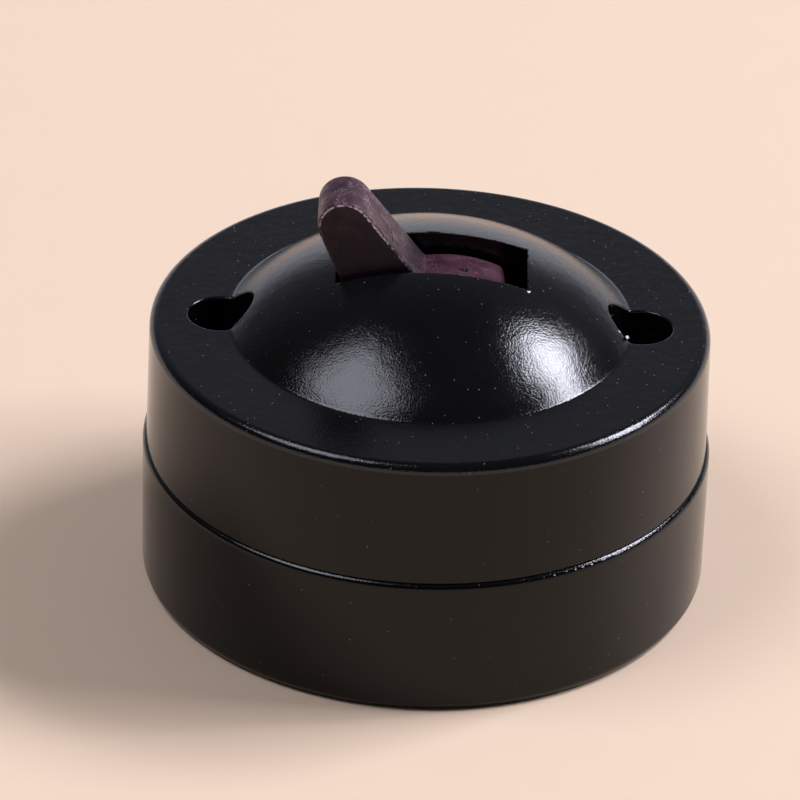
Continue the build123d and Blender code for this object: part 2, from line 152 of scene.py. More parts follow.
def stretch(
    value: Socket, span: tuple[float, float], low: float = 0.0, high: float = 1.0
) -> Socket:
    """Stretch a value's span smoothly to a new one, and hold it beyond both ends.

    Args:
        value: The value.
        span: Where the new span begins and ends.
        low: What it becomes where the span begins.
        high: What it becomes where the span ends.

    Returns:
        The stretched value.
    """
    return add_node(
        value.node.id_data,
        "ShaderNodeMapRange",
        {"interpolation_type": "SMOOTHSTEP"},
        {"Value": value, "From Min": span[0], "From Max": span[1], "To Min": low, "To Max": high},
    ).outputs["Result"]


def combine(operation: str, first: Socket, *others: Socket | float) -> Socket:
    """Work out one number from several, from left to right.

    Args:
        operation: The sum to do, by Blender's name.
        first: The first number.
        others: The numbers that follow it.

    Returns:
        The result.
    """
    tree = first.node.id_data
    for other in others:
        inputs = {0: first, 1: other}
        first = add_node(tree, "ShaderNodeMath", {"operation": operation}, inputs).outputs[0]
    return first


def tint(share: Socket, under: object, over: object) -> Socket:
    """Lay one colour over another.

    Args:
        share: How much of the second colour shows.
        under: The first colour, as a value or a socket.
        over: The second colour.

    Returns:
        The mixed colour.
    """
    return add_node(
        share.node.id_data,
        "ShaderNodeMix",
        {"data_type": "RGBA"},
        {0: share, 6: under, 7: over},
    ).outputs[2]


@dataclass(frozen=True)
class Finish:
    """A surface finish, with the values that are the same all over it."""

    name: str
    colour: str
    roughness: float
    metallic: float = 0.0
    ior: float = 1.5

    def material(self) -> bpy.types.Material:
        """Return this finish's material, made the first time it is asked for."""
        found = bpy.data.materials.get(self.name)
        if found:
            return found
        made = bpy.data.materials.new(self.name)
        made.use_nodes = True
        tree = made.node_tree
        shader = tree.nodes["Principled BSDF"]
        shader.inputs["Base Color"].default_value = linear(self.colour)
        shader.inputs["Roughness"].default_value = self.roughness
        shader.inputs["Metallic"].default_value = self.metallic
        if not self.metallic:
            shader.inputs["IOR"].default_value = self.ior
        place = add_node(tree, "ShaderNodeTexCoord").outputs["Object"]
        for name, source in self.pattern(place).items():
            tree.links.new(source, shader.inputs[name])
        return made

    def pattern(self, place: Socket) -> dict[str, Socket]:
        """Return what drives the shader's uneven inputs: nothing in a plain finish.

        Args:
            place: Object coordinates, in metres; not used by a plain finish.

        Returns:
            A socket for each uneven input, by the input's name.
        """
        return {}

    def clouds(
        self,
        place: Socket,
        size: float,
        span: tuple[float, float],
        to: tuple[float, float] = (0.0, 1.0),
        detail: float = 2.0,
    ) -> Socket:
        """Add cloudy noise, stretched to a range.

        Args:
            place: The coordinates that it reads.
            size: How wide its features are, in millimetres.
            span: The noise's low and high that are kept.
            to: What the low and the high become.
            detail: How many finer layers it has.

        Returns:
            The noise's output.
        """
        cloud = add_node(
            place.node.id_data,
            "ShaderNodeTexNoise",
            inputs={"Vector": place, "Scale": per_metre(size), "Detail": detail},
        )
        return stretch(cloud.outputs["Fac"], span, *to)

    def specks(
        self,
        place: Socket,
        gap: float,
        radius: float,
        share: float,
        shape: tuple[float, float, float] = (1.0, 1.0, 1.0),
    ) -> Socket:
        """Scatter small soft spots of uneven strength.

        Args:
            place: The coordinates that they read.
            gap: How far apart they are, in millimetres.
            radius: How large a spot is, in millimetres.
            share: How many places have one, from 0 to 1.
            shape: How much a spot is squeezed along each axis.

        Returns:
            The spots' strength.
        """
        tree = place.node.id_data
        drawn = add_node(tree, "ShaderNodeMapping", inputs={"Vector": place, "Scale": shape})
        cells = add_node(
            tree,
            "ShaderNodeTexVoronoi",
            inputs={"Vector": drawn.outputs["Vector"], "Scale": per_metre(gap)},
        )
        near = stretch(cells.outputs["Distance"], (0.4 * radius / gap, radius / gap), 1.0, 0.0)
        strength = stretch(cells.outputs["Color"], (0.85 - 0.6 * share, 1.0 - 0.6 * share))
        return combine("MULTIPLY", near, strength)

    def relief(self, layers: Iterable[tuple[Socket, float]]) -> Socket:
        """Stack bumps of real height.

        Args:
            layers: Each height map, and how high its full white stands in millimetres.

        Returns:
            The bent normal.
        """
        normal = None
        for height, distance in layers:
            inputs: dict[str | int, object] = {"Height": height, "Distance": distance * MM}
            if normal:
                inputs["Normal"] = normal
            bump = add_node(height.node.id_data, "ShaderNodeBump", inputs=inputs)
            normal = bump.outputs["Normal"]
        return normal


@dataclass(frozen=True)
class BlackPhenolic(Finish):
    """Compression-moulded black phenolic: hard and dense, with a fine orange-peel skin.

    Its dust and scuffs are drawn a little coarser than real ones, or they would be lost.
    """

    peel: float = 0.23
    peel_height: float = 0.0098
    wave: float = 1.3
    wave_height: float = 0.008
    dust: str = "#8d8a90"
    dusty: float = 0.8
    scuff_shape: tuple[float, float, float] = (1.0, 0.12, 0.12)

    def pattern(self, place: Socket) -> dict[str, Socket]:
        """Return smudges, dust, short scuffs, orange peel and slow waves."""
        smudge = (self.roughness * 0.85, self.roughness * 1.15)
        dust = self.specks(place, 0.85, 0.08, self.dusty)
        scuffs = self.specks(place, 1.2, 0.05, self.dusty * 0.6, self.scuff_shape)
        marks = combine("MAXIMUM", dust, combine("MULTIPLY", scuffs, 0.6))
        peel = self.clouds(place, self.peel, (0.25, 0.75))
        wave = self.clouds(place, self.wave, (0.25, 0.75), detail=0.0)
        return {
            "Base Color": tint(marks, linear(self.colour), linear(self.dust)),
            "Roughness": self.clouds(place, 5.0, (0.3, 0.7), smudge, 4.0),
            "Normal": self.relief(((wave, self.wave_height), (peel, self.peel_height))),
        }


@dataclass(frozen=True)
class BrownPhenolic(Finish):
    """Moulded brown phenolic with wood flour in it: mottled, with a low sheen."""

    shade: str = "#35202a"

    def pattern(self, place: Socket) -> dict[str, Socket]:
        """Return mottling, an uneven sheen, dents and grain."""
        sheen = (self.roughness - 0.08, self.roughness + 0.1)
        grain = self.clouds(place, 0.18, (0.2, 0.8), detail=3.0)
        dents = self.clouds(place, 1.4, (0.3, 0.7), detail=1.0)
        return {
            "Base Color": self.body(place),
            "Roughness": self.clouds(place, 0.9, (0.3, 0.7), sheen, 3.0),
            "Normal": self.relief(((dents, 0.02), (grain, 0.006))),
        }

    def body(self, place: Socket) -> Socket:
        """Return the mottled colour.

        Args:
            place: Object coordinates, in metres.

        Returns:
            The colour's socket.
        """
        mottle = self.clouds(place, 1.8, (0.35, 0.65), detail=4.0)
        return tint(mottle, linear(self.colour), linear(self.shade))


@dataclass(frozen=True)
class HandledPhenolic(BrownPhenolic):
    """The lever's phenolic: pale and rubbed at its tip's edges, with lint in its pores.

    Its spans are heights along the lever or places across it, in millimetres.
    """

    wear: str = "#cbbcbe"
    # The dark colour of the painted shade on the flanks and towards the finger's root.
    moulded: str = "#150d17"
    fleck: str = "#8c2a33"
    fleck_at: tuple[float, float, float] = (9.15, -0.33, 6.05)
    fleck_r: tuple[float, float] = (0.1, 0.36)
    tilt: float = 30.4
    pivot_z: float = 27.6
    handled: tuple[float, float] = (11.0, 19.0)
    rubbed: tuple[float, float] = (-3.2, -1.6)
    # Heights where the painted shade towards the finger's root rises, then fades.
    root: tuple[float, float] = (8.4, 10.4)
    root_shade_fade: tuple[float, float] = (11.0, 20.0)

    def along_lever(self, place: Socket) -> Socket:
        """Return coordinates that lie along the lever, with the pivot at their origin."""
        lean = math.radians(self.tilt)
        pivot = -self.pivot_z * MM
        return add_node(
            place.node.id_data,
            "ShaderNodeMapping",
            inputs={
                "Vector": place,
                "Rotation": (0, lean, 0),
                "Location": (pivot * math.sin(lean), 0, pivot * math.cos(lean)),
            },
        ).outputs["Vector"]

    def rubbing(self, place: Socket, spot: bpy.types.NodeOutputs, lean_out: Socket) -> Socket:
        """Return where the colour is pale: rubbed edges, lint in the pores, stray specks.

        Args:
            place: Object coordinates, in metres.
            spot: The place along the lever, by axis.
            lean_out: How far a face looks to the front or back, from 0 to 1.

        Returns:
            How pale it is.
        """
        tip = stretch(spot["Z"], in_mm(*self.handled), 0.3, 1.0)
        rubbed = stretch(spot["X"], in_mm(*self.rubbed), 0.15, 1.0)
        edge = combine(
            "MULTIPLY",
            stretch(lean_out, (0.7, 0.85)),
            stretch(lean_out, (0.95, 0.99), 1.0, 0.0),
        )
        patchy = self.clouds(place, 0.42, (0.46, 0.58), (0.0, 0.9), detail=5.0)
        worn = combine("MULTIPLY", edge, patchy, tip, rubbed)
        fine = self.clouds(place, 0.15, (0.58, 0.68), detail=0.0)
        clump = self.clouds(place, 1.5, (0.4, 0.6), detail=3.0)
        off_flank = stretch(lean_out, (0.5, 0.8), 0.46, 0.05)
        lint = combine("MULTIPLY", fine, clump, tip, off_flank)
        stray = combine("MULTIPLY", self.specks(place, 0.9, 0.07, 0.5), 0.5)
        return combine("MAXIMUM", worn, lint, stray)

    def body(self, place: Socket) -> Socket:
        """Return the mottled colour with painted shade on flanks and finger root, pale wear and one
        red fleck.
        """
        tree = place.node.id_data
        along = self.along_lever(place)
        spot = add_node(tree, "ShaderNodeSeparateXYZ", inputs={0: along}).outputs
        normal = add_node(tree, "ShaderNodeNewGeometry").outputs["Normal"]
        across = add_node(tree, "ShaderNodeSeparateXYZ", inputs={0: normal}).outputs["Y"]
        lean_out = combine("ABSOLUTE", across, 0.0)
        # Painted shade on the flanks: faces that look to the front or back are darkened.
        flank = stretch(lean_out, (0.9, 0.99), 0.0, 0.75)
        # Painted shade on the finger: darkest just above the wings, fading towards the tip.
        root_shade = combine(
            "MULTIPLY",
            stretch(spot["Z"], in_mm(*self.root)),
            stretch(spot["Z"], in_mm(*self.root_shade_fade), 0.6, 0.1),
        )
        # Both painted shades together, laid on in the dark colour below.
        painted_shade = combine("MAXIMUM", flank, root_shade)
        skin = tint(painted_shade, super().body(place), linear(self.moulded))
        reach = add_node(
            tree,
            "ShaderNodeVectorMath",
            {"operation": "DISTANCE"},
            {0: along, 1: Vector(self.fleck_at) * MM},
        ).outputs["Value"]
        red = stretch(reach, in_mm(*self.fleck_r), 0.7, 0.0)
        mottled = tint(red, skin, linear(self.fleck))
        return tint(self.rubbing(place, spot, lean_out), mottled, linear(self.wear))


@dataclass(frozen=True)
class WorkedMetal(Finish):
    """A rolled, turned or drawn metal with fine tool marks and slight tarnish."""

    tarnish: str = "#6f6c68"
    mark: float = 0.12
    grain: tuple[float, float, float] = (1.0, 1.0, 6.0)

    def pattern(self, place: Socket) -> dict[str, Socket]:
        """Return tarnish clouds and tool marks."""
        drawn = add_node(
            place.node.id_data,
            "ShaderNodeMapping",
            inputs={"Vector": place, "Scale": self.grain},
        ).outputs["Vector"]
        cloud = self.clouds(place, 2.5, (0.45, 0.8), (0.0, 0.6), 4.0)
        rubbed = (self.roughness * 0.75, self.roughness * 1.3)
        scored = self.clouds(drawn, self.mark, (0.3, 0.7), detail=1.0)
        return {
            "Base Color": tint(cloud, linear(self.colour), linear(self.tarnish)),
            "Roughness": self.clouds(drawn, self.mark, (0.3, 0.7), rubbed),
            "Normal": self.relief(((scored, 0.001),)),
        }


@dataclass(frozen=True)
class FloorPaint(Finish):
    """Matt pale paint on a smooth board, with a very slight roller mottle."""

    def pattern(self, place: Socket) -> dict[str, Socket]:
        """Return the roller's mottle."""
        mottle = (self.roughness - 0.04, self.roughness + 0.04)
        return {"Roughness": self.clouds(place, 4.0, (0.3, 0.7), mottle)}


# Black phenolic as it comes from the mould, worn soft since: a deep gloss that is broken
# into grains by its orange peel, with some dust on it.
SATIN_BLACK = BlackPhenolic("phenolic_black_satin", "#0a0a0b", 0.14)
# The same moulding where its wall was buffed on a wheel: a clear mirror with slow waves. Its
# index is set low, because the buffed wall sends back less than fresh resin does.
POLISHED_BLACK = BlackPhenolic(
    "phenolic_black_polished",
    "#080606",
    0.13,
    ior=1.34,
    peel=0.5,
    peel_height=0.0006,
    wave=9.0,
    wave_height=0.006,
    dusty=0.25,
)
# Maroon phenolic with wood flour in it: low sheen, mottled, pale where its edges are rubbed.
MAROON = HandledPhenolic("phenolic_maroon_matt", "#482233", 0.46, ior=1.4, shade="#341625")
# Brown phenolic kept inside the housing: cleaner than the lever, same grain.
ROCKER_BROWN = BrownPhenolic("phenolic_brown_moulded", "#3f2a2b", 0.42, ior=1.58)
# Zinc-plated mild steel, stamped and passivated: bluish grey with a soft sheen.
ZINC_STEEL = WorkedMetal("zinc_plated_steel", "#aeb4ba", 0.32, 1.0, tarnish="#7d8288")
# Hard-drawn spring wire, oiled: dark grey and streaked along the draw.
SPRING_WIRE = WorkedMetal("drawn_spring_steel", "#86878a", 0.28, 1.0, tarnish="#55524f")
# Free-turning brass, machined: warm yellow with brown tarnish in its tool marks.
BRASS = WorkedMetal("turned_brass", "#c79a52", 0.3, 1.0, tarnish="#86602f")
# Rolled phosphor bronze strip: pinkish gold, duller than brass.
BRONZE = WorkedMetal("rolled_phosphor_bronze", "#b67c52", 0.33, 1.0, tarnish="#7a4d33")
# Fine silver contact metal: white and soft, with a grey sulphide bloom.
SILVER = WorkedMetal("contact_silver", "#d9d7d1", 0.26, 1.0, tarnish="#8d8983")
# Painted board that the switch stands on.
FLOOR = FloorPaint("floor_pale_paint", "#f0d5b9", 0.6)


def bevel(
    mesh: bmesh.types.BMesh, parts: list[object], width: float, steps: int, affect: str
) -> None:
    """Round the given corners or edges of a mesh evenly."""
    bmesh.ops.bevel(
        mesh,
        geom=parts,
        offset=width,
        offset_type="OFFSET",
        segments=steps,
        profile=0.5,
        material=-1,
        affect=affect,
        clamp_overlap=False,
    )


class Solid:
    """A closed shape in millimetres that is turned, extruded, carved and placed."""

    def __init__(self) -> None:
        """Start with nothing in it."""
        self.mesh = bmesh.new()

    def point(self, x: float, z: float, y: float = 0.0) -> bmesh.types.BMVert:
        """Add a point, given by its place across and up."""
        return self.mesh.verts.new((x, y, z))

    def path(self, points: Iterable[bmesh.types.BMVert]) -> None:
        """Join points in order with straight edges."""
        run = list(points)
        for start, end in zip(run, run[1:]):
            self.mesh.edges.new((start, end))

    def arc(
        self, start: bmesh.types.BMVert, centre: tuple[float, float], degrees: float, steps: int
    ) -> bmesh.types.BMVert:
        """Sweep a point round a centre in the upright plane.

        Args:
            start: The point that the arc begins at.
            centre: The centre's place across and up.
            degrees: How far it turns, clockwise seen from the front.
            steps: How many edges the arc has.

        Returns:
            The arc's last point.
        """
        swept = bmesh.ops.spin(
            self.mesh,
            geom=[start],
            cent=(centre[0], start.co.y, centre[1]),
            axis=Y_AXIS,
            angle=math.radians(degrees),
            steps=steps,
            use_merge=False,
        )
        return next(v for v in swept["geom_last"] if isinstance(v, bmesh.types.BMVert))

    def round_corner(self, corner: bmesh.types.BMVert, radius: float, steps: int) -> None:
        """Round a corner of a flat outline to a radius."""
        ways = [(e.other_vert(corner).co - corner.co).normalized() for e in corner.link_edges]
        turn = math.pi - ways[0].angle(ways[1])
        bevel(self.mesh, [corner], radius * math.tan(turn / 2), steps, "VERTICES")

    def turn(self, steps: int) -> None:
        """Turn the outline once round the upright axis and close its poles."""
        bmesh.ops.spin(
            self.mesh,
            geom=self.mesh.verts[:] + self.mesh.edges[:],
            cent=(0, 0, 0),
            axis=Z_AXIS,
            angle=math.tau,
            steps=steps,
            use_merge=True,
        )
        self.tidy(TURNED_GAP)

    def tidy(self, distance: float) -> None:
        """Merge points closer than distance, and point every face outwards."""
        bmesh.ops.remove_doubles(self.mesh, verts=self.mesh.verts[:], dist=distance)
        bmesh.ops.recalc_face_normals(self.mesh, faces=self.mesh.faces[:])

    def rod(
        self,
        centre: tuple[float, float, float],
        radius: float,
        length: float,
        along: Vector = Z_AXIS,
        steps: int = 64,
    ) -> None:
        """Add a round rod that starts at centre and runs along a direction."""
        middle = Vector(centre) + along.normalized() * length / 2
        turned = Z_AXIS.rotation_difference(along).to_matrix().to_4x4()
        bmesh.ops.create_cone(
            self.mesh,
            cap_ends=True,
            segments=steps,
            radius1=radius,
            radius2=radius,
            depth=length,
            matrix=Matrix.Translation(middle) @ turned,
        )

    def block(self, low: tuple[float, float, float], high: tuple[float, float, float]) -> None:
        """Add a block between two corners."""
        size = Vector(high) - Vector(low)
        middle = (Vector(high) + Vector(low)) / 2
        bmesh.ops.create_cube(
            self.mesh,
            size=1.0,
            matrix=Matrix.Translation(middle) @ Matrix.Diagonal((*size, 1.0)),
        )

    def pebble(self, centre: Vector, radius: float, squash: Vector, turn: float) -> None:
        """Add a small faceted lump, the shape of a chip that broke away."""
        bmesh.ops.create_icosphere(
            self.mesh,
            subdivisions=1,
            radius=radius,
            matrix=Matrix.Translation(centre)
            @ Matrix.Rotation(turn, 4, Z_AXIS)
            @ Matrix.Diagonal((*squash, 1.0)),
        )

    def flake(self, spot: Vector, facing: Vector, size: float) -> None:
        """Add a block whose flat side leaves a facet where it is cut away.

        Args:
            spot: The middle of the facet.
            facing: The way the facet looks.
            size: How long the block's sides are.
        """
        turned = facing.to_track_quat("Z", "X").to_matrix().to_4x4()
        centre = spot + facing.normalized() * size / 2
        bmesh.ops.create_cube(self.mesh, size=size, matrix=Matrix.Translation(centre) @ turned)

    def shape(self, name: str) -> bpy.types.Object:
        """Turn the solid into an object, still in millimetres."""
        data = bpy.data.meshes.new(name)
        self.mesh.to_mesh(data)
        self.mesh.free()
        made = bpy.data.objects.new(name, data)
        bpy.context.scene.collection.objects.link(made)
        return made


def carve(piece: bpy.types.Object, how: Carving, *tools: Solid) -> None:
    """Join solids to a piece, or cut them away, one after another.

    Args:
        piece: The object that changes.
        how: Whether they are joined or cut.
        tools: The other solids, used up by this.
    """
    for tool in tools:
        other = tool.shape("tool")
        step = piece.modifiers.new("carve", "BOOLEAN")
        step.operation = how.value
        step.solver = "EXACT"
        step.object = other
        graph = bpy.context.evaluated_depsgraph_get()
        carved = bpy.data.meshes.new_from_object(piece.evaluated_get(graph))
        before, spent = piece.data, other.data
        piece.modifiers.clear()
        piece.data = carved
        carved.name = piece.name
        bpy.data.meshes.remove(before)
        bpy.data.objects.remove(other)
        bpy.data.meshes.remove(spent)


def soften(
    piece: bpy.types.Object,
    width: float,
    steps: int,
    chosen: Callable[[bmesh.types.BMEdge], bool],
    least: float = 35.0,
) -> None:
    """Round the chosen sharp edges of a piece.

    Args:
        piece: The object that changes.
        width: How wide the rounding is.
        steps: How many faces it has across.
        chosen: Says whether an edge is one of those to round.
        least: The least bend in degrees that counts as sharp.
    """
    work = bmesh.new()
    work.from_mesh(piece.data)
    sliver = min(width / 3, SLIVER)
    bmesh.ops.remove_doubles(work, verts=work.verts[:], dist=sliver)
    bmesh.ops.dissolve_degenerate(work, edges=work.edges[:], dist=sliver / 3)
    sharp = [
        e
        for e in work.edges
        if len(e.link_faces) == 2
        and e.calc_face_angle(0.0) > math.radians(least)
        and chosen(e)
    ]
    bevel(work, sharp, width, steps, "EDGES")
    work.to_mesh(piece.data)
    work.free()
    LOG.info("%s: %d edges rounded", piece.name, len(sharp))


def settle(
    piece: bpy.types.Object,
    finishes: Iterable[Finish],
    skin: Callable[[bpy.types.MeshPolygon], Skin] | None = None,
) -> None:
    """Scale a piece to metres, shade it smooth and give it its finishes.

    Args:
        piece: The object, still in millimetres.
        finishes: Its finishes, in the order of Skin.
        skin: Says which finish a face takes.
    """
    for finish in finishes:
        piece.data.materials.append(finish.material())
    for face in piece.data.polygons:
        face.material_index = skin(face).value if skin else 0
    piece.data.shade_smooth()
    for face in piece.data.polygons:
        if face.area < FACET_AREA and face.normal.dot(GLINT) > FACET_MATCH:
            face.use_smooth = False
    piece.data.transform(Matrix.Scale(MM, 4))
    piece.data.set_sharp_from_angle(angle=math.radians(SHARP_FROM))
    even = piece.modifiers.new("even_normals", "WEIGHTED_NORMAL")
    even.keep_sharp = True


def around(degrees: float, radius: float, height: float) -> Vector:
    """Return the point at a bearing, counted from the front towards the right."""
    angle = math.radians(degrees)
    return Vector((radius * math.sin(angle), -radius * math.cos(angle), height))


@dataclass
class Base:
    """The base moulding: a turned cup with bosses, ribs, lands and holes in its floor."""

    back_r: float = 31.65
    rim_r: float = 31.75
    wall: float = 2.8
    floor: float = 3.0
    seam_z: float = 16.3
    rim_round: float = 0.7
    back_round: float = 1.2
    inner_round: float = 0.5
    land_z: float = 3.6
    bridge_land: tuple[float, float] = (11.0, 12.8)
    terminal: tuple[float, float] = (-11.2, 12.5)
    terminal_land: tuple[float, float, float] = (-10.2, 10.0, 9.0)
    bolt_r: float = 1.7
    bolt_sink: tuple[float, float] = (3.0, 2.0)
    rivet_y: float = 2.5
    rivet_r: float = 1.2
    rivet_sink: tuple[float, float] = (2.2, 1.4)
    wall_screw_y: float = 21.0
    wall_screw_r: float = 2.2
    pad: tuple[float, float] = (4.4, 1.2)
    cable_x: float = -14.0
    cable_r: float = 4.0
    boss_x: float = 23.26
    boss_r: float = 5.0
    boss_top: float = 14.5
    rib: float = 3.0
    insert_r: float = 2.62
    insert_low: float = 6.5
    mouth_round: float = 0.18
    overlap: float = 0.5
    chips_from: float = 20.0
    chip_gap: float = 1.7
    chip_count: int = 34
    steps: int = 288

    def outline(self) -> Solid:
        """Draw the cup's section and turn it."""
        cup = Solid()
        back = cup.point(self.back_r, 0)
        rim = cup.point(self.rim_r, self.seam_z)
        ledge = cup.point(self.rim_r - self.wall, self.seam_z)
        corner = cup.point(self.back_r - self.wall, self.floor)
        cup.path((cup.point(0, 0), back, rim, ledge, corner, cup.point(0, self.floor)))
        cup.round_corner(back, self.back_round, 8)
        cup.round_corner(rim, self.rim_round, 8)
        cup.round_corner(ledge, self.inner_round / 2, 3)
        cup.round_corner(corner, self.inner_round, 4)
        cup.turn(self.steps)
        return cup

    def bosses(self) -> Solid:
        """Return the two bosses that hold the cover's inserts."""
        rods = Solid()
        low = self.floor - self.overlap
        for side in (-1, 1):
            rods.rod((side * self.boss_x, 0, low), self.boss_r, self.boss_top - low)
        return rods

    def ribs(self) -> Solid:
        """Return the ribs that tie the bosses to the wall."""
        blocks = Solid()
        half = self.rib / 2
        for side in (-1, 1):
            ends = sorted(side * (self.boss_x + self.boss_r + step) for step in (-half, half))
            blocks.block(
                (ends[0], -half, self.floor - self.overlap), (ends[1], half, self.boss_top)
            )
        return blocks

    def lands(self) -> Solid:
        """Return the raised lands under the bridge and terminals, and the screw pads."""
        raised = Solid()
        low = self.floor - self.overlap
        length, width = (size / 2 for size in self.bridge_land)
        raised.block((-length, -width, low), (length, width, self.land_z))
        middle, length, width = self.terminal_land
        for side in (-1, 1):
            y = side * self.terminal[1]
            raised.block(
                (middle - length / 2, y - width / 2, low),
                (middle + length / 2, y + width / 2, self.land_z),
            )
            raised.rod(
                (0, side * self.wall_screw_y, low), self.pad[0], self.pad[1] + self.overlap
            )
        return raised

    def holes(self) -> Solid:
        """Return the rods for the holes through the floor and into the bosses."""
        rods = Solid()
        deep = 2 * self.floor
        rods.rod((self.cable_x, 0, -deep / 2), self.cable_r, 2 * deep)
        for side in (-1, 1):
            for x, y, radius in (
                (0.0, self.wall_screw_y, self.wall_screw_r),
                (0.0, self.rivet_y, self.rivet_r),
                (*self.terminal, self.bolt_r),
            ):
                rods.rod((x, side * y, -deep / 2), radius, 2 * deep)
            rods.rod((side * self.boss_x, 0, self.insert_low), self.insert_r, self.boss_top)
        return rods

    def sinks(self) -> Solid:
        """Return the rods for the sunk rivet and bolt heads in the back."""
        rods = Solid()
        for side in (-1, 1):
            for x, y, (radius, depth) in (
                (0.0, self.rivet_y, self.rivet_sink),
                (*self.terminal, self.bolt_sink),
            ):
                rods.rod((x, side * y, depth - self.floor), radius, self.floor)
        return rods

    def chips(self) -> Solid:
        """Return the small chips along the rim on the side that is handled most."""
        lumps = Solid()
        draw = random.Random(11)
        for step in range(self.chip_count):
            bearing = self.chips_from + self.chip_gap * step + draw.uniform(-0.4, 0.4)
            spot = around(bearing, self.rim_r - 0.16, self.seam_z - draw.uniform(0.1, 0.22))
            squash = Vector((draw.uniform(0.9, 2.0), 0.8, 0.8))
            lumps.pebble(spot, draw.uniform(0.14, 0.27), squash, math.radians(bearing))
        return lumps

    def is_mouth(self, edge: bmesh.types.BMEdge) -> bool:
        """Say whether an edge runs round a hole at the back or on top of a boss."""
        points = [v.co for v in edge.verts]
        inside = all(math.hypot(p.x, p.y) < self.back_r - self.back_round - 1 for p in points)
        at_back = all(abs(p.z) < NEAR for p in points)
        on_boss = all(abs(p.z - self.boss_top) < NEAR for p in points)
        return inside and (at_back or on_boss)

    def skin(self, face: bpy.types.MeshPolygon) -> Skin:
        """Say whether a face is on the buffed wall or on the rest."""
        outside = math.hypot(face.center.x, face.center.y) > self.back_r - 0.2
        wall = self.back_round / 2 < face.center.z < self.seam_z - self.rim_round / 4
        return Skin.POLISHED if outside and wall else Skin.SATIN

    def build(self) -> None:
        """Make the base piece, in place and dressed."""
        piece = self.outline().shape("base_moulding")
        carve(piece, Carving.JOIN, self.bosses(), self.ribs(), self.lands())
        carve(piece, Carving.CUT, self.holes(), self.sinks())
        soften(piece, self.mouth_round, 2, self.is_mouth, 60.0)
        carve(piece, Carving.CUT, self.chips())
        settle(piece, (SATIN_BLACK, POLISHED_BLACK), self.skin)
        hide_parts("base")
        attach(piece, "housing")


